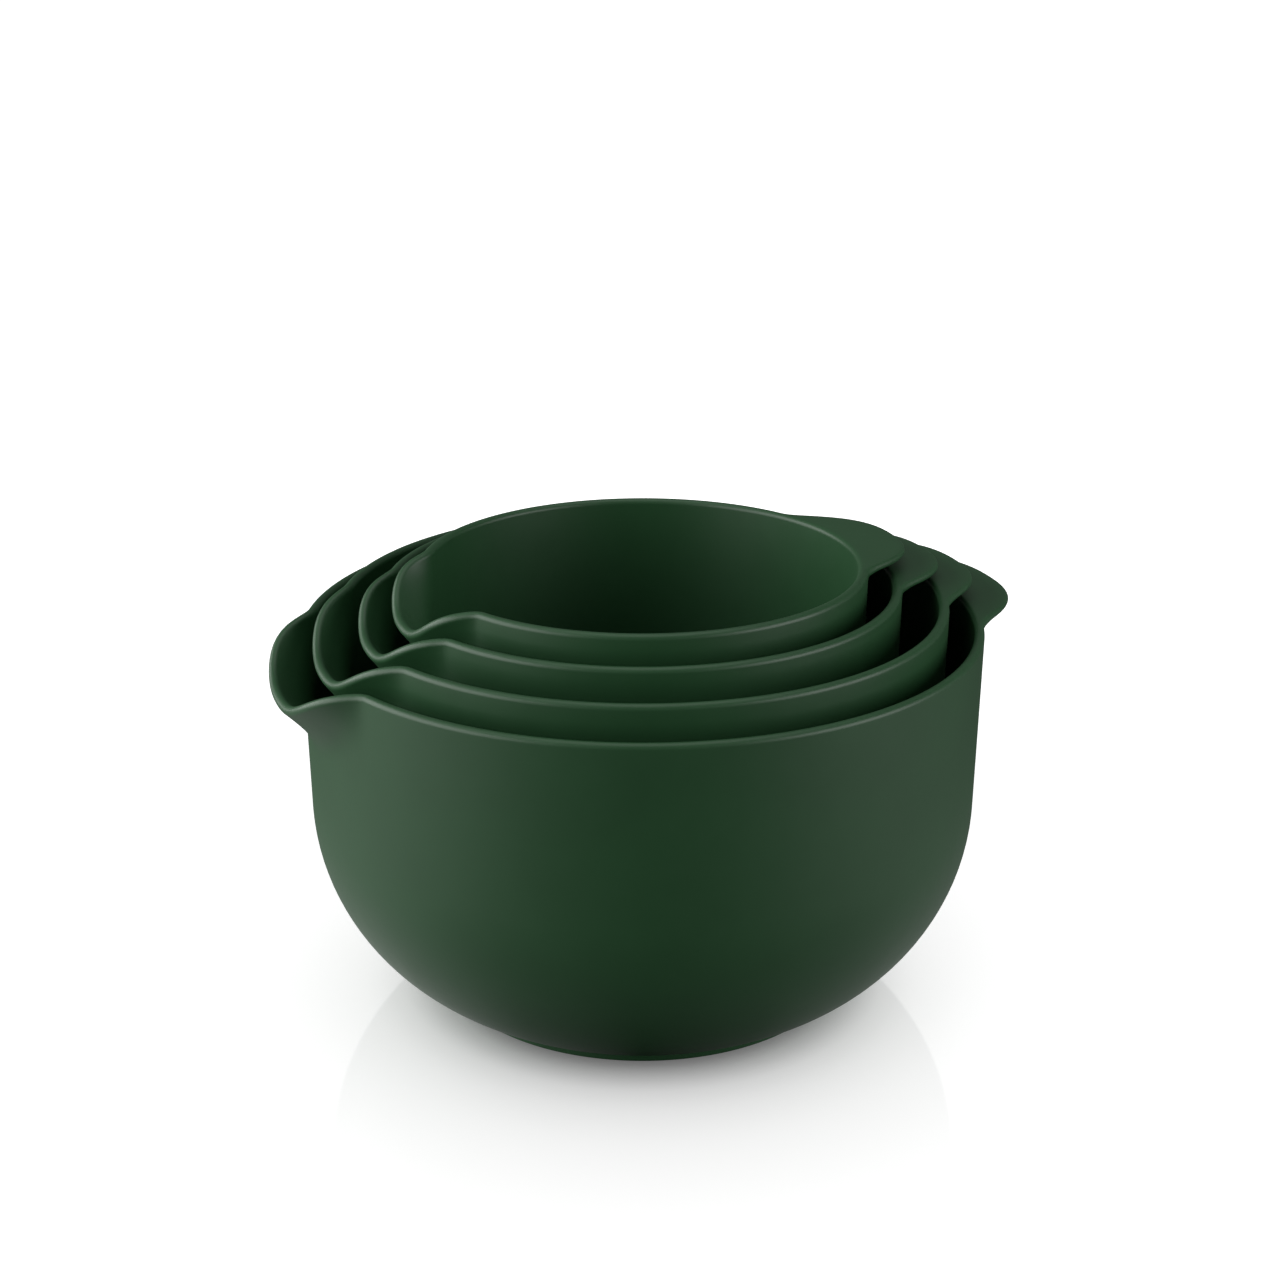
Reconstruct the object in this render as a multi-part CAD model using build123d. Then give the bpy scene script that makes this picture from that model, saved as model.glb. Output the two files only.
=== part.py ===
"""Nest of four melamine mixing bowls, in millimetres, +Z up.

The largest bowl stands on the XY plane with its axis on Z. Each smaller bowl
stands on the floor of the next larger one. Every bowl has a pouring spout
towards -X, a flat tab handle towards +X and a soft non-slip ring let into a
groove under its foot.
"""

import os
from math import asin, cos, pi, sin, sqrt

from build123d import *

os.makedirs("parts", exist_ok=True)

# Driving dimensions, one value per bowl, largest first
OUTER_RADII = (110.0, 98.5, 83.4, 72.4)
RIM_LEVELS = (127.6, 134.8, 140.2, 146.4)
SPOUT_HALF_WIDTHS = (40.0, 40.0, 35.5, 32.0)
SPOUT_REACHES = (11.4, 8.6, 8.9, 9.0)
SPOUT_DIPS = (12.6, 13.6, 12.4, 12.4)
TAB_HALF_WIDTHS = (45.0, 40.0, 37.0, 35.0)
TAB_REACHES = (16.0, 14.4, 17.4, 16.2)

# Wall and floor
WALL = 3.3
FLOOR = 3.6
DRAFT = 0.017
CORNER_RATIO = 0.65
CORNER_CENTRE_RATIO = 0.632

# Foot and its non-slip ring
RING_PROUD = 2.0
RING_SEAT = 1.4
RING_WIDTH = 7.0
RING_RATIO = 0.578
RING_ROUND = 0.8
FOOT_RATIO = 0.615
FOOT_RISE = 3.0
FOOT_ROUND = 0.8
STANDING_GAP = 0.3
LOFT_START = 0.6

# Spout: the flare starts this far below the lip; exponents of its plan and of its dip
FLARE_DEPTH = 18.0
SPOUT_FLATNESS = 3.4
DIP_FLATNESS = 1.8

# Tab handle: a thin plate level with the rim, rooted inside the wall
TAB_THICKNESS = 2.4
TAB_FLATNESS = 1.5
TAB_ROOT = 1.6

# Spare height above the rim that the rim cut takes off
TRIM = 6.0

# Points on the outlines and numbers of horizontal sections
SPOUT_POINTS = 18
PLAIN_POINTS = 10
TAB_POINTS = 24
DIP_POINTS = 16
CORNER_SECTIONS = 8
FLARE_SECTIONS = 8

STACK_STEP = RING_PROUD + FLOOR + STANDING_GAP


def bell(offset, half_width, flatness):
    """Smooth bump: 1 at the middle, 0 at and beyond the half width."""
    share = min(abs(offset) / half_width, 1.0)
    return 0.5 * (1.0 + cos(pi * share**flatness))


def ramp(level, low, high):
    """Smooth rise from 0 at the low level to 1 at the high level."""
    share = min(max((level - low) / (high - low), 0.0), 1.0)
    return 0.5 * (1.0 - cos(pi * share))


class Bowl:
    """The sizes of one bowl, worked out from its driving dimensions."""

    def __init__(self, index):
        self.stand = index * STACK_STEP
        self.radius = OUTER_RADII[index]
        self.rim = RIM_LEVELS[index]
        self.base = self.stand + RING_PROUD
        self.floor = self.base + FLOOR
        self.corner = CORNER_RATIO * self.radius
        self.corner_level = self.stand + CORNER_CENTRE_RATIO * self.radius
        self.corner_centre = self.wall_radius(self.corner_level) - self.corner
        self.spout_half_width = SPOUT_HALF_WIDTHS[index]
        self.spout_half_angle = asin(self.spout_half_width / self.radius)
        self.spout_dip = SPOUT_DIPS[index]
        self.spout_reach = SPOUT_REACHES[index]
        self.tab_half_angle = asin(TAB_HALF_WIDTHS[index] / self.radius)
        self.tab_reach = TAB_REACHES[index]

    def wall_radius(self, level):
        """Outer radius of the drafted wall."""
        return self.radius - DRAFT * (self.rim - level)

    def profile_radius(self, level, inset):
        """Radius of the round body at a level, set in from the outer face."""
        if level >= self.corner_level:
            return self.wall_radius(level) - inset
        drop = self.corner_level - level
        return self.corner_centre + sqrt((self.corner - inset) ** 2 - drop**2)

    def lip_reach(self, angle):
        """How far the lip reaches out past the round rim, at an angle from the spout's middle."""
        return self.spout_reach * bell(angle, self.spout_half_angle, SPOUT_FLATNESS)

    def lip_drop(self, offset):
        """How far the lip dips below the rim, at an offset to the side of the spout's middle."""
        return self.spout_dip * bell(offset, self.spout_half_width, DIP_FLATNESS)

    def flare(self, angle, level):
        """How far the spout stands out from the round wall: half of a smooth ramp up to the lip."""
        reach = self.lip_reach(angle)
        lip = self.rim - self.lip_drop((self.radius + reach) * sin(angle))
        return 2.0 * reach * ramp(level, lip - FLARE_DEPTH, lip + FLARE_DEPTH)

    def section(self, level, inset):
        """Closed horizontal outline of the body with its spout flare."""
        points = []
        for angle in section_angles(self.spout_half_angle):
            radius = self.profile_radius(level, inset) + self.flare(angle, level)
            points.append((-radius * cos(angle), -radius * sin(angle), level))
        return Wire([Spline(*points, periodic=True)])


def section_angles(half_angle):
    """Angles about the axis from the tab side round: close together across the spout."""
    spout_step = 2.0 * half_angle / SPOUT_POINTS
    plain_step = (pi - half_angle) / PLAIN_POINTS
    before = [-pi + plain_step * i for i in range(PLAIN_POINTS)]
    spout = [-half_angle + spout_step * i for i in range(SPOUT_POINTS)]
    after = [half_angle + plain_step * i for i in range(PLAIN_POINTS)]
    return before + spout + after


def body_levels(bowl, start):
    """Levels of the horizontal outlines: corner, plain wall, then the flare and the spare height."""
    corner_span = bowl.corner_level - start
    turns = [0.5 * pi * i / CORNER_SECTIONS for i in range(CORNER_SECTIONS)]
    corner = [bowl.corner_level - corner_span * cos(turn) for turn in turns]
    flare_low = bowl.rim - bowl.spout_dip - FLARE_DEPTH
    wall = [bowl.corner_level, 0.5 * (bowl.corner_level + flare_low)]
    flare_step = (bowl.rim + TRIM - flare_low) / FLARE_SECTIONS
    flare = [flare_low + flare_step * i for i in range(FLARE_SECTIONS + 1)]
    return corner + wall + flare


def make_body(bowl, start, inset):
    """Solid body up to above the rim, set in from the outer face."""
    return Solid.make_loft([bowl.section(level, inset) for level in body_levels(bowl, start)])


def make_tab(bowl):
    """Flat plate whose plan is a wide bell on the rim."""
    root = bowl.radius - TAB_ROOT
    points = []
    for i in range(TAB_POINTS + 1):
        angle = bowl.tab_half_angle * (2.0 * i / TAB_POINTS - 1.0)
        radius = root + (bowl.tab_reach + TAB_ROOT) * bell(angle, bowl.tab_half_angle, TAB_FLATNESS)
        points.append((radius * cos(angle), radius * sin(angle)))
    outline = Wire([Spline(*points), Line(points[-1], (0, 0)), Line((0, 0), points[0])])
    plate = extrude(make_face(outline), TAB_THICKNESS + TRIM)
    return Pos(0, 0, bowl.rim - TAB_THICKNESS) * plate


def make_rim_cut(bowl):
    """Everything above the rim: level all round, dipping across the spout."""
    reach = 2.0 * bowl.radius
    dip = []
    for i in range(DIP_POINTS + 1):
        offset = bowl.spout_half_width * (2.0 * i / DIP_POINTS - 1.0)
        dip.append((offset, bowl.rim - bowl.lip_drop(offset)))
    top = bowl.rim + 2.0 * TRIM
    outline = Wire(
        [
            Line((-reach, bowl.rim), dip[0]),
            Spline(*dip, tangents=[(1, 0), (1, 0)]),
            Line(dip[-1], (reach, bowl.rim)),
            Line((reach, bowl.rim), (reach, top)),
            Line((reach, top), (-reach, top)),
            Line((-reach, top), (-reach, bowl.rim)),
        ]
    )
    spout_side = extrude(Plane.YZ * make_face(outline), -reach)
    tab_side = Pos(0.5 * reach, 0, bowl.rim + TRIM) * Box(reach, 2.0 * reach, 2.0 * TRIM)
    return spout_side + tab_side


def make_ring(bowl):
    """Non-slip ring: seated part in the groove, proud part with rounded edges."""
    outer = RING_RATIO * bowl.radius
    height = RING_PROUD + RING_SEAT
    ring = Cylinder(outer, height) - Cylinder(outer - RING_WIDTH, height)
    ring = fillet(ring.faces().sort_by(Axis.Z)[0].edges(), RING_ROUND)
    return Pos(0, 0, bowl.stand + 0.5 * height) * ring


def make_groove(bowl):
    """Space for the seated part of the ring."""
    outer = RING_RATIO * bowl.radius
    groove = Cylinder(outer, RING_SEAT) - Cylinder(outer - RING_WIDTH, RING_SEAT)
    return Pos(0, 0, bowl.base + 0.5 * RING_SEAT) * groove


def make_bowl(bowl):
    """One bowl: body, foot and tab, hollowed, trimmed at the rim and grooved for its ring."""
    foot = Cylinder(FOOT_RATIO * bowl.radius, FOOT_RISE)
    foot = fillet(foot.faces().sort_by(Axis.Z)[0].edges(), FOOT_ROUND)
    foot = Pos(0, 0, bowl.base + 0.5 * FOOT_RISE) * foot
    shell = make_body(bowl, bowl.base + LOFT_START, 0.0) + foot + make_tab(bowl)
    shell = shell - make_body(bowl, bowl.floor, WALL)
    shell = shell - make_rim_cut(bowl)
    return shell - make_groove(bowl)


if __name__ == "__main__":
    for index in range(len(OUTER_RADII)):
        bowl = Bowl(index)
        export_step(make_bowl(bowl), f"parts/bowl_{index + 1}.step")
        export_step(make_ring(bowl), f"parts/foot_ring_{index + 1}.step")
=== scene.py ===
"""Looks of the nest of mixing bowls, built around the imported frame, in metres.

Each bowl is a shell of even thickness, lofted from formulas: a round body with a
spout flare towards -X, a fully rounded rim that dips across the spout, and a flat
tab towards +X that grows out of the rim. Each foot ring is turned about Z.
"""

from math import acos, asin, atan2, cos, pi, radians, sin, sqrt

import bmesh
import bpy
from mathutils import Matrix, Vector


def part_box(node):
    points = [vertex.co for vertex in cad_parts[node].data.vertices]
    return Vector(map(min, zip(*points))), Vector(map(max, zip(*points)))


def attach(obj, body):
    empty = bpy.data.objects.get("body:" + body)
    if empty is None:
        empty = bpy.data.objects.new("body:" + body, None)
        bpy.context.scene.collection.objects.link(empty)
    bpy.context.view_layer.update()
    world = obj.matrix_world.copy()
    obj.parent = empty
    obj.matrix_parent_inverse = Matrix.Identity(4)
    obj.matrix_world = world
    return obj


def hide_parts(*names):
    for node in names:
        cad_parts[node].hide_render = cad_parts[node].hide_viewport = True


MM = 0.001

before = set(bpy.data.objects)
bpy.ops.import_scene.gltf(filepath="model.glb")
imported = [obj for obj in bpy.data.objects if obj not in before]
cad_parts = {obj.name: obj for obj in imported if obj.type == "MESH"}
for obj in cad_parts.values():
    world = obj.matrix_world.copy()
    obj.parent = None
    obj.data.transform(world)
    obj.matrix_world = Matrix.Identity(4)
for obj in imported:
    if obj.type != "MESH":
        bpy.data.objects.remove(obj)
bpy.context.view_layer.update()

# ---------------------------------------------------------------- sizes of the bowls
BODIES = ("largest_bowl", "second_bowl", "third_bowl", "smallest_bowl")
WALL = 3.3 * MM
FLOOR = 3.6 * MM
DRAFT = 0.017
CORNER_RATIO = 0.65
CORNER_CENTRE_RATIO = 0.632

SPOUT_HALF_WIDTHS = (40.0 * MM, 40.0 * MM, 35.5 * MM, 32.0 * MM)
SPOUT_REACHES = (11.4 * MM, 8.6 * MM, 8.9 * MM, 9.0 * MM)
SPOUT_DIPS = (12.6 * MM, 13.6 * MM, 12.4 * MM, 12.4 * MM)
SPOUT_FLATNESS = 2.8
DIP_FLATNESS = 1.5
# The spout's soft shoulders reach a little past its half width
SHOULDER_WIDENING = 1.06
# The flare is centred on the lip's rounding, raised by this share of half the wall
LIP_RAISE = 0.3
FLARE_DEPTH = 18.0 * MM

TAB_HALF_WIDTHS = (45.0 * MM, 40.0 * MM, 37.0 * MM, 35.0 * MM)
TAB_FLATNESS = 1.5
TAB_EDGE = 1.2 * MM
TAB_THINNING = 4.0 * MM
TAB_FILLET = 2.2 * MM

FOOT_RATIO = 0.615
FOOT_ROUND = 0.8 * MM
FOOT_TUCK = 0.3 * MM
RING_SEAT = 1.4 * MM
RING_WIDTH = 7.0 * MM
RING_ROUND = 0.8 * MM
RING_SLACK = 0.02 * MM

# Mesh density; shares of the way from the axis for the rows of the flat middle
COLUMNS = 288
WALL_ROWS = 52
FILLET_ROWS = 5
UNDER_ROWS = 5
EDGE_ROWS = 10
TOP_ROWS = 7
QUARTER_ROWS = 6
FLOOR_ROWS = 8
ROUND_ROWS = 5
UNDERSIDE_SHARES = (0.25, 0.5, 0.75, 0.97)
FLOOR_SHARES = (0.9, 0.7, 0.45, 0.2)

# Step for slopes, distance for joining points and least angle of a sharp edge in degrees
STEP = 0.05 * MM
WELD = 0.004 * MM
SHARP_ANGLE = 40.0

# ---------------------------------------------------------------- looks
MELAMINE_TINTS = ((0.3, (0.0125, 0.050, 0.0175, 1.0)), (0.7, (0.0140, 0.055, 0.0195, 1.0)))
MELAMINE_ROUGHNESS = (0.40, 0.46)
MELAMINE_SPECULAR = 0.38
MELAMINE_BUMP = (0.06, 0.0002)
RUBBER_TINTS = ((0.0, (0.006, 0.006, 0.006, 1.0)), (1.0, (0.014, 0.014, 0.014, 1.0)))
RUBBER_ROUGHNESS = 0.72
RUBBER_BUMP = (0.2, 0.0001)

# Noise textures: scale and detail
MOTTLE_NOISE = (35.0, 4.0)
GLOSS_NOISE = (140.0, 3.0)
PEEL_NOISE = (900.0, 2.0)
GRAIN_NOISE = (1500.0, 3.0)

# Floor: its shade as seen by the camera and by everything else, its gloss, which fades
# between two distances from the axis, and its glow at distances from the axis, which is
# painted light: weak by the foot, a painted contact shadow, and stronger further out to hold the
# floor white
FLOOR_HALF_SIZE = 6.0
FLOOR_ROUGHNESS = 0.06
FLOOR_SHADE = 0.85
# Dark to everything but the camera: painted shade on the bowls' lower sides, which get no bounce
# light from the floor
FLOOR_PAINTED_DARK_TO_BOWLS = 0.1
FLOOR_SPECULAR = 0.5
GLOSS_FADE = (0.09, 0.22)
# Painted contact shadow: the glow is weak by the foot and rises outwards, on top of the real shadow
# under the floor light
FLOOR_GLOW_AND_PAINTED_SHADOW = ((0.064, 0.12), (0.081, 0.48), (0.092, 0.54), (0.2, 0.56), (0.5, 1.0))

# The glow that the floor throws on the bowls, from the far left (0) to the far right (1),
# and where it fades out towards the back
SIDE_GLOW = ((0.0, 0.64), (0.25, 0.16), (0.5, 0.0), (0.75, 0.08), (1.0, 0.36))
BACK_FADE = (-0.3, 0.7)

# Camera: angles in degrees, lens and sensor in millimetres, the rest in metres
CAMERA_HEADING = -19.0
CAMERA_PITCH = 19.88
CAMERA_DISTANCE = 0.715
CAMERA_AIM = 0.1189
CAMERA_SIDE = -0.00085
CAMERA_LENS = 61.7
CAMERA_SENSOR = 36.0
CAMERA_CLIP_END = 50.0

# Strength of the white world as a light; the camera itself sees it at full strength
WORLD_FILL = 0.13

# Area lights: name, angle from the camera's side (positive to the right), distance from
# the axis, height, height aimed at, size and power
BOWL_LIGHTS = (
    ("left_softbox", -85.0, 1.2, 0.62, 0.62, (2.2, 1.25), 36.0),
    ("right_softbox", 68.0, 1.3, 0.45, 0.45, (1.1, 0.9), 13.0),
    ("top_softbox", 0.0, 0.0, 1.6, 0.0, (1.6, 1.6), 10.0),
)
FLOOR_LIGHTS = (
    ("floor_light", 0.0, 0.5, 1.6, 0.0, (2.6, 2.2), 21.0),
    ("backdrop", 180.0, 1.6, 0.8, 0.8, (4.0, 1.6), 20.0),
)


# ---------------------------------------------------------------- shape formulas
def bell(offset, half_width, flatness):
    """Smooth bump: 1 at the middle, 0 at and beyond the half width."""
    share = min(abs(offset) / half_width, 1.0)
    return 0.5 * (1.0 + cos(pi * share**flatness))


def ramp(level, low, high):
    """Smooth rise from 0 at the low level to 1 at the high level."""
    share = min(max((level - low) / (high - low), 0.0), 1.0)
    return 0.5 * (1.0 - cos(pi * share))


def wrapped(angle):
    """The same angle, between -pi and pi."""
    return (angle + pi) % (2.0 * pi) - pi


class Bowl:
    """The sizes of one bowl: its place from the frame, its curves from the formulas."""

    def __init__(self, index):
        low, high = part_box(f"bowl_{index + 1}")
        ring_low, ring_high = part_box(f"foot_ring_{index + 1}")
        self.name = f"bowl_{index + 1}"
        self.ring_name = f"foot_ring_{index + 1}"
        self.body = BODIES[index]
        self.half = 0.5 * WALL
        self.radius = high.y
        self.rim = high.z
        self.base = low.z
        self.stand = ring_low.z
        self.ring_radius = ring_high.y
        self.floor = self.base + FLOOR
        self.corner = CORNER_RATIO * self.radius
        self.corner_level = self.stand + CORNER_CENTRE_RATIO * self.radius
        self.corner_centre = self.wall_radius(self.corner_level) - self.corner
        self.foot_radius = FOOT_RATIO * self.radius
        self.foot_angle = acos((self.foot_radius - self.corner_centre) / self.corner)
        self.low_level = self.corner_level - (self.corner - self.half) * sin(self.foot_angle)
        self.spout_half_width = SHOULDER_WIDENING * SPOUT_HALF_WIDTHS[index]
        self.spout_half_angle = asin(self.spout_half_width / self.radius)
        self.spout_dip = SPOUT_DIPS[index]
        self.spout_reach = SPOUT_REACHES[index]
        self.tab_half_angle = asin(TAB_HALF_WIDTHS[index] / self.radius)
        self.tab_reach = high.x - self.radius

    def wall_radius(self, level):
        """Outer radius of the drafted wall."""
        return self.radius - DRAFT * (self.rim - level)

    def middle_radius(self, angle, level):
        """Radius of the surface midway through the wall."""
        if level >= self.corner_level:
            plain = self.wall_radius(level) - self.half
        else:
            drop = self.corner_level - level
            plain = self.corner_centre + sqrt((self.corner - self.half) ** 2 - drop**2)
        lip = self.lip_level(angle) + LIP_RAISE * self.half
        flare = 2.0 * self.lip_reach(angle) * ramp(level, lip - FLARE_DEPTH, lip + FLARE_DEPTH)
        return plain + flare

    def middle(self, angle, level):
        """Point midway through the wall."""
        radius = self.middle_radius(angle, level)
        return Vector((radius * cos(angle), radius * sin(angle), level))

    def normal(self, angle, level):
        """Outward unit normal of the middle surface."""
        turn = STEP / self.radius
        along = self.middle(angle + turn, level) - self.middle(angle - turn, level)
        up = self.middle(angle, level + STEP) - self.middle(angle, level - STEP)
        return along.cross(up).normalized()

    def lip_reach(self, angle):
        """How far the lip reaches out past the round rim."""
        return self.spout_reach * bell(wrapped(angle - pi), self.spout_half_angle, SPOUT_FLATNESS)

    def lip_level(self, angle):
        """Height of the centre of the rim's rounding."""
        level = self.rim - self.half
        if cos(angle) < 0.0:
            offset = (self.radius + self.lip_reach(angle)) * sin(angle)
            level -= self.spout_dip * bell(offset, self.spout_half_width, DIP_FLATNESS)
        return level

    def lip_centre(self, angle):
        """Centre of the rim's rounding."""
        return self.middle(angle, self.lip_level(angle))

    def tab_length(self, angle):
        """How far the rim's outer edge is drawn out to make the tab."""
        return self.tab_reach * bell(wrapped(angle), self.tab_half_angle, TAB_FLATNESS)


# ---------------------------------------------------------------- mesh building
def weld(mesh):
    """Join points that lie together, so that no face has lost its width."""
    work = bmesh.new()
    work.from_mesh(mesh)
    bmesh.ops.remove_doubles(work, verts=work.verts, dist=WELD)
    work.to_mesh(mesh)
    work.free()


def skin(name, columns, closed_ends=True):
    """Quad mesh from columns of points round the axis.

    Its first and last rows are closed with a fan each, or joined to each other to make a ring.
    """
    rows = len(columns[0])
    count = len(columns)
    vertices = [tuple(point) for column in columns for point in column]
    faces = []
    for c in range(count):
        here = c * rows
        after = ((c + 1) % count) * rows
        for r in range(rows - 1):
            faces.append((here + r, after + r, after + r + 1, here + r + 1))
    if closed_ends:
        for row, flip in ((0, True), (rows - 1, False)):
            centre = sum((Vector(column[row]) for column in columns), Vector()) / count
            vertices.append(tuple(centre))
            pole = len(vertices) - 1
            for c in range(count):
                here = c * rows + row
                after = ((c + 1) % count) * rows + row
                faces.append((after, here, pole) if flip else (here, after, pole))
    else:
        for c in range(count):
            here = c * rows
            after = ((c + 1) % count) * rows
            faces.append((here + rows - 1, after + rows - 1, after, here))
    mesh = bpy.data.meshes.new(name)
    mesh.from_pydata(vertices, [], faces)
    weld(mesh)
    mesh.shade_smooth()
    mesh.set_sharp_from_angle(angle=radians(SHARP_ANGLE))
    piece = bpy.data.objects.new(name, mesh)
    bpy.context.scene.collection.objects.link(piece)
    return piece


def turned(angle, profile):
    """Profile points (radius, level) placed in the half-plane at an angle."""
    return [Vector((radius * cos(angle), radius * sin(angle), level)) for radius, level in profile]


def arc(centre, radius, start, end, count):
    """Points on an arc in a half-plane, without its first point."""
    points = []
    for i in range(1, count + 1):
        angle = start + (end - start) * i / count
        points.append((centre[0] + radius * cos(angle), centre[1] + radius * sin(angle)))
    return points


def foot_profile(bowl):
    """From near the axis under the bowl, over the ring's groove, up to the corner curve."""
    groove_in = bowl.ring_radius - RING_WIDTH
    seat = bowl.base + RING_SEAT
    profile = [(groove_in * share, bowl.base) for share in UNDERSIDE_SHARES]
    profile += [(groove_in, bowl.base), (groove_in, seat), (bowl.ring_radius, seat)]
    profile += [(bowl.ring_radius, bowl.base)]
    round_centre = (bowl.foot_radius - FOOT_ROUND, bowl.base + FOOT_ROUND)
    profile += [(round_centre[0], bowl.base)]
    profile += arc(round_centre, FOOT_ROUND, -0.5 * pi, 0.0, ROUND_ROWS)
    join = bowl.corner_level - bowl.corner * sin(bowl.foot_angle)
    profile += [(bowl.foot_radius, join - FOOT_TUCK)]
    return profile


def floor_profile(bowl):
    """From the corner curve inside down to the flat floor and towards the axis."""
    inner = bowl.corner - WALL
    lift = bowl.corner_level - inner * sin(bowl.foot_angle) - bowl.floor
    blend = lift / (1.0 - sin(bowl.foot_angle))
    centre = (bowl.corner_centre + (inner - blend) * cos(bowl.foot_angle), bowl.floor + blend)
    profile = arc(centre, blend, -bowl.foot_angle, -0.5 * pi, FLOOR_ROWS)
    profile += [(centre[0] * share, bowl.floor) for share in FLOOR_SHARES]
    return profile


def rim_offsets(half, length):
    """Section of the rim about its rounding's centre, from the outer wall over to the inner wall.

    The outer edge is drawn out by the length and thins to the tab's edge, with a fillet
    under it against the wall.
    """
    edge = half + (TAB_EDGE - half) * min(length / TAB_THINNING, 1.0)
    edge_centre = (half + length - edge, half - edge)
    inside = max(half + TAB_FILLET - edge_centre[0], 0.0)
    height = sqrt(max((edge + TAB_FILLET) ** 2 - inside**2, 0.0))
    fillet_centre = (half + TAB_FILLET, edge_centre[1] - height)
    meet = atan2(height, -inside)
    points = [(half, fillet_centre[1])]
    points += arc(fillet_centre, TAB_FILLET, pi, meet, FILLET_ROWS)
    edge_start = meet - pi
    start = Vector(points[-1])
    end = Vector((edge_centre[0] + edge * cos(edge_start), edge_centre[1] + edge * sin(edge_start)))
    for i in range(1, UNDER_ROWS + 1):
        points.append(tuple(start.lerp(end, i / UNDER_ROWS)))
    points += arc(edge_centre, edge, edge_start, 0.5 * pi, EDGE_ROWS)
    for i in range(1, TOP_ROWS + 1):
        points.append((edge_centre[0] * (1.0 - i / TOP_ROWS), half))
    points += arc((0.0, 0.0), half, 0.5 * pi, pi, QUARTER_ROWS)
    return points


def rim_points(bowl, angle):
    """The rim's section at an angle, square to the wall."""
    centre = bowl.lip_centre(angle)
    radial = Vector((cos(angle), sin(angle), 0.0))
    if cos(angle) >= 0.0:
        outward = radial
        upward = Vector((0.0, 0.0, 1.0))
    else:
        turn = STEP / bowl.radius
        along = (bowl.lip_centre(angle + turn) - bowl.lip_centre(angle - turn)).normalized()
        outward = bowl.normal(angle, bowl.lip_level(angle))
        upward = outward.cross(along).normalized()
    offsets = rim_offsets(bowl.half, bowl.tab_length(angle))
    return [centre + outward * x + upward * y for x, y in offsets]


def wall_shares():
    """Steps along the wall, closer together at its foot and at its rim."""
    return [0.5 * (1.0 - cos(pi * i / WALL_ROWS)) for i in range(WALL_ROWS + 1)]


def bowl_column(bowl, angle):
    """All points of the shell's section at an angle, from under the foot to the floor inside."""
    under = turned(angle, foot_profile(bowl))
    rim = rim_points(bowl, angle)
    top = bowl.lip_level(angle)
    outer_top = rim[0].z if bowl.tab_length(angle) > 0.0 else top
    outer = []
    inner = []
    for share in wall_shares()[:-1]:
        level = bowl.low_level + (outer_top - bowl.low_level) * share
        outer.append(bowl.middle(angle, level) + bowl.normal(angle, level) * bowl.half)
        level = bowl.low_level + (top - bowl.low_level) * share
        inner.append(bowl.middle(angle, level) - bowl.normal(angle, level) * bowl.half)
    inner.reverse()
    return under + outer + rim + inner + turned(angle, floor_profile(bowl))


def make_bowl(bowl):
    """One bowl's shell, with its foot, groove, spout and tab."""
    columns = [bowl_column(bowl, 2.0 * pi * c / COLUMNS) for c in range(COLUMNS)]
    return skin(f"{bowl.name}_shell", columns)


def make_ring(bowl):
    """Soft ring: rounded where it stands on the surface, seated in the groove above."""
    outer = bowl.ring_radius - RING_SLACK
    inner = bowl.ring_radius - RING_WIDTH + RING_SLACK
    top = bowl.base + RING_SEAT - RING_SLACK
    round_level = bowl.stand + RING_ROUND
    profile = [(outer, top), (inner, top), (inner, round_level)]
    profile += arc((inner + RING_ROUND, round_level), RING_ROUND, pi, 1.5 * pi, ROUND_ROWS)
    profile += arc((outer - RING_ROUND, round_level), RING_ROUND, -0.5 * pi, 0.0, ROUND_ROWS)
    columns = [turned(2.0 * pi * c / COLUMNS, profile) for c in range(COLUMNS)]
    return skin(f"{bowl.ring_name}_tread", columns, closed_ends=False)


# ---------------------------------------------------------------- materials
def node_material(name):
    """New node material with its Principled shader."""
    material = bpy.data.materials.new(name)
    material.use_nodes = True
    nodes = material.node_tree.nodes
    return material, nodes, material.node_tree.links, nodes["Principled BSDF"]


def noise(nodes, links, where, settings):
    """Noise texture in the piece's own coordinates."""
    texture = nodes.new("ShaderNodeTexNoise")
    texture.inputs["Scale"].default_value = settings[0]
    texture.inputs["Detail"].default_value = settings[1]
    links.new(where.outputs["Object"], texture.inputs["Vector"])
    return texture


def colour_ramp(nodes, stops):
    """Colour ramp with the given places and colours."""
    node = nodes.new("ShaderNodeValToRGB")
    elements = node.color_ramp.elements
    for place, _ in stops[1:-1]:
        elements.new(place)
    for element, (place, colour) in zip(elements, stops):
        element.position = place
        element.color = colour
    return node


def level_ramp(nodes, levels):
    """Colour ramp that turns a place between 0 and 1 into a grey level."""
    return colour_ramp(nodes, [(place, (level, level, level, 1.0)) for place, level in levels])


def map_range(nodes, source, result):
    """Linear map from one range of values to another, held at its ends."""
    node = nodes.new("ShaderNodeMapRange")
    node.inputs["From Min"].default_value = source[0]
    node.inputs["From Max"].default_value = source[1]
    node.inputs["To Min"].default_value = result[0]
    node.inputs["To Max"].default_value = result[1]
    return node


def add_bump(nodes, links, shader, texture, settings):
    """Fine surface relief from a texture: strength and distance."""
    bump = nodes.new("ShaderNodeBump")
    bump.inputs["Strength"].default_value = settings[0]
    bump.inputs["Distance"].default_value = settings[1]
    links.new(texture.outputs["Fac"], bump.inputs["Height"])
    links.new(bump.outputs["Normal"], shader.inputs["Normal"])


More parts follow.
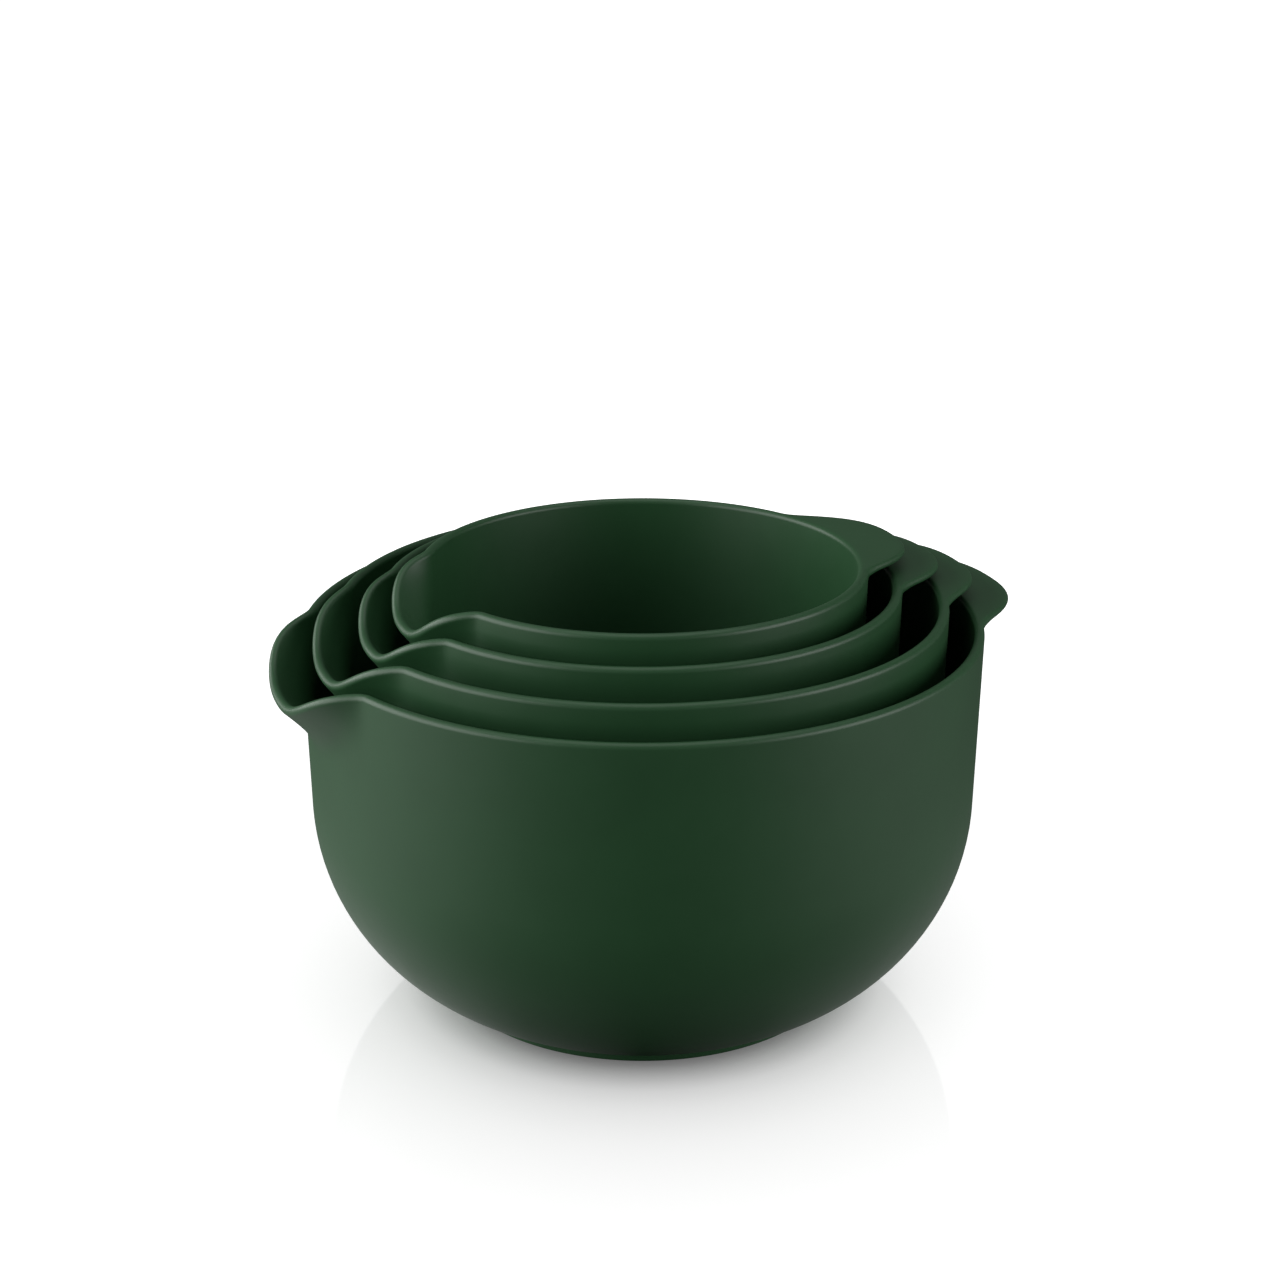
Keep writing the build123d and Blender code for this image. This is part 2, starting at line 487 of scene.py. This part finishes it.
def make_melamine():
    """Dark green moulded melamine, satin, with a faint mottle and a fine moulded texture."""
    material, nodes, links, shader = node_material("green_melamine")
    where = nodes.new("ShaderNodeTexCoord")

    mottle = noise(nodes, links, where, MOTTLE_NOISE)
    tint = colour_ramp(nodes, MELAMINE_TINTS)
    links.new(mottle.outputs["Fac"], tint.inputs["Fac"])
    links.new(tint.outputs["Color"], shader.inputs["Base Color"])

    gloss = noise(nodes, links, where, GLOSS_NOISE)
    rough = map_range(nodes, (0.0, 1.0), MELAMINE_ROUGHNESS)
    links.new(gloss.outputs["Fac"], rough.inputs["Value"])
    links.new(rough.outputs["Result"], shader.inputs["Roughness"])
    shader.inputs["Specular IOR Level"].default_value = MELAMINE_SPECULAR

    peel = noise(nodes, links, where, PEEL_NOISE)
    add_bump(nodes, links, shader, peel, MELAMINE_BUMP)
    return material


def make_rubber():
    """Matt black soft ring with a fine grain."""
    material, nodes, links, shader = node_material("black_silicone")
    where = nodes.new("ShaderNodeTexCoord")
    grain = noise(nodes, links, where, GRAIN_NOISE)
    tint = colour_ramp(nodes, RUBBER_TINTS)
    links.new(grain.outputs["Fac"], tint.inputs["Fac"])
    links.new(tint.outputs["Color"], shader.inputs["Base Color"])
    shader.inputs["Roughness"].default_value = RUBBER_ROUGHNESS
    add_bump(nodes, links, shader, grain, RUBBER_BUMP)
    return material


def heading_along(nodes, links, where, direction):
    """How far a point's heading from the axis agrees with a direction, from -1 to 1."""
    heading = nodes.new("ShaderNodeVectorMath")
    heading.operation = "NORMALIZE"
    links.new(where.outputs["Object"], heading.inputs[0])
    along = nodes.new("ShaderNodeVectorMath")
    along.operation = "DOT_PRODUCT"
    along.inputs[1].default_value = direction
    links.new(heading.outputs["Vector"], along.inputs[0])
    return along


def side_glow_colour(nodes, links, where):
    """Glow thrown on the bowls: bright at the left, dim at the right, none in front or behind."""
    sideways = heading_along(nodes, links, where, around(90.0, 1.0, 0.0))
    side = map_range(nodes, (-1.0, 1.0), (0.0, 1.0))
    links.new(sideways.outputs["Value"], side.inputs["Value"])
    glow = level_ramp(nodes, SIDE_GLOW)
    links.new(side.outputs["Result"], glow.inputs["Fac"])

    backways = heading_along(nodes, links, where, around(180.0, 1.0, 0.0))
    front = map_range(nodes, BACK_FADE, (1.0, 0.0))
    links.new(backways.outputs["Value"], front.inputs["Value"])
    faded = nodes.new("ShaderNodeVectorMath")
    faded.operation = "SCALE"
    links.new(glow.outputs["Color"], faded.inputs[0])
    links.new(front.outputs["Result"], faded.inputs["Scale"])
    return faded.outputs["Vector"]


def make_floor_material():
    """White glossy acrylic with a painted glow.

    The camera sees it white, with a painted contact shadow where its glow drops by the foot;
    towards the bowls it is dark, a painted shade on their lower sides, but for a painted glow at
    the sides.
    """
    material, nodes, links, shader = node_material("pale_floor")
    shader.inputs["Roughness"].default_value = FLOOR_ROUGHNESS
    path = nodes.new("ShaderNodeLightPath")
    where = nodes.new("ShaderNodeTexCoord")
    reach = nodes.new("ShaderNodeVectorMath")
    reach.operation = "LENGTH"
    links.new(where.outputs["Object"], reach.inputs[0])

    # Dark to every ray but the camera's: painted shade on the bowls' lower sides
    shade = map_range(nodes, (0.0, 1.0), (FLOOR_PAINTED_DARK_TO_BOWLS, FLOOR_SHADE))
    links.new(path.outputs["Is Camera Ray"], shade.inputs["Value"])
    links.new(shade.outputs["Result"], shader.inputs["Base Color"])

    gloss = map_range(nodes, GLOSS_FADE, (FLOOR_SPECULAR, 0.0))
    links.new(reach.outputs["Value"], gloss.inputs["Value"])
    links.new(gloss.outputs["Result"], shader.inputs["Specular IOR Level"])

    # Glow seen by the camera, with a painted contact shadow where it drops by the foot
    seen_glow_and_painted_shadow = level_ramp(nodes, FLOOR_GLOW_AND_PAINTED_SHADOW)
    links.new(reach.outputs["Value"], seen_glow_and_painted_shadow.inputs["Fac"])

    # A Mix node has a socket of each type under one name, so its colour sockets go by identifier
    mix = nodes.new("ShaderNodeMix")
    mix.data_type = "RGBA"
    entry = {socket.identifier: socket for socket in mix.inputs}
    result = {socket.identifier: socket for socket in mix.outputs}
    links.new(path.outputs["Is Camera Ray"], entry["Factor_Float"])
    links.new(side_glow_colour(nodes, links, where), entry["A_Color"])
    links.new(seen_glow_and_painted_shadow.outputs["Color"], entry["B_Color"])
    links.new(result["Result_Color"], shader.inputs["Emission Color"])
    shader.inputs["Emission Strength"].default_value = 1.0
    return material


# ---------------------------------------------------------------- stage, lights, camera
def make_floor():
    """Large flat floor under the nest."""
    size = FLOOR_HALF_SIZE
    mesh = bpy.data.meshes.new("floor")
    corners = [(-size, -size, 0.0), (size, -size, 0.0), (size, size, 0.0), (-size, size, 0.0)]
    mesh.from_pydata(corners, [], [(0, 1, 2, 3)])
    floor = bpy.data.objects.new("floor", mesh)
    bpy.context.scene.collection.objects.link(floor)
    floor.data.materials.append(make_floor_material())
    return floor


def around(angle_degrees, distance, height):
    """A place at an angle about the nest, counted from the camera's side, positive to the right."""
    angle = radians(CAMERA_HEADING + angle_degrees)
    return (distance * sin(angle), -distance * cos(angle), height)


def make_light(name, angle, distance, height, aim_height, size, power):
    """Rectangular area light."""
    light = bpy.data.lights.new(name, "AREA")
    light.shape = "RECTANGLE"
    light.size = size[0]
    light.size_y = size[1]
    light.energy = power
    lamp = bpy.data.objects.new(name, light)
    lamp.location = around(angle, distance, height)
    sight = Vector((0.0, 0.0, aim_height)) - lamp.location
    lamp.rotation_euler = sight.to_track_quat("-Z", "Y").to_euler()
    bpy.context.scene.collection.objects.link(lamp)
    return lamp


def link_light(lamp, receiver, state):
    """Let the lamp light the receiver alone (INCLUDE), or everything but the receiver (EXCLUDE)."""
    receivers = bpy.data.collections.new(f"{lamp.name}_receivers")
    receivers.objects.link(receiver)
    receivers.collection_objects[0].light_linking.link_state = state
    lamp.light_linking.receiver_collection = receivers


def make_world():
    """White backdrop that gives only a little fill light."""
    world = bpy.data.worlds.new("studio")
    world.use_nodes = True
    nodes = world.node_tree.nodes
    links = world.node_tree.links
    background = nodes["Background"]
    background.inputs["Color"].default_value = (1.0, 1.0, 1.0, 1.0)
    path = nodes.new("ShaderNodeLightPath")
    level = map_range(nodes, (0.0, 1.0), (WORLD_FILL, 1.0))
    links.new(path.outputs["Is Camera Ray"], level.inputs["Value"])
    links.new(level.outputs["Result"], background.inputs["Strength"])
    bpy.context.scene.world = world
    bpy.context.scene.view_settings.view_transform = "Standard"


def make_camera():
    """Camera that looks down on the nest from the front."""
    camera = bpy.data.cameras.new("camera")
    camera.sensor_width = CAMERA_SENSOR
    camera.lens = CAMERA_LENS
    camera.clip_end = CAMERA_CLIP_END
    rig = bpy.data.objects.new("camera", camera)
    heading = radians(CAMERA_HEADING)
    pitch = radians(CAMERA_PITCH)
    right = Vector((cos(heading), sin(heading), 0.0))
    forward = Vector((-sin(heading) * cos(pitch), cos(heading) * cos(pitch), -sin(pitch)))
    aim = right * CAMERA_SIDE + Vector((0.0, 0.0, CAMERA_AIM))
    rig.location = aim - forward * CAMERA_DISTANCE
    rig.rotation_euler = forward.to_track_quat("-Z", "Y").to_euler()
    bpy.context.scene.collection.objects.link(rig)
    bpy.context.scene.camera = rig


# ---------------------------------------------------------------- build
melamine = make_melamine()
rubber = make_rubber()
for index in range(len(BODIES)):
    bowl = Bowl(index)
    shell = make_bowl(bowl)
    shell.data.materials.append(melamine)
    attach(shell, bowl.body)
    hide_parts(bowl.name)
    ring = make_ring(bowl)
    ring.data.materials.append(rubber)
    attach(ring, bowl.body)
    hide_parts(bowl.ring_name)

floor = make_floor()
make_world()
for settings in BOWL_LIGHTS:
    link_light(make_light(*settings), floor, "EXCLUDE")
for settings in FLOOR_LIGHTS:
    link_light(make_light(*settings), floor, "INCLUDE")
make_camera()
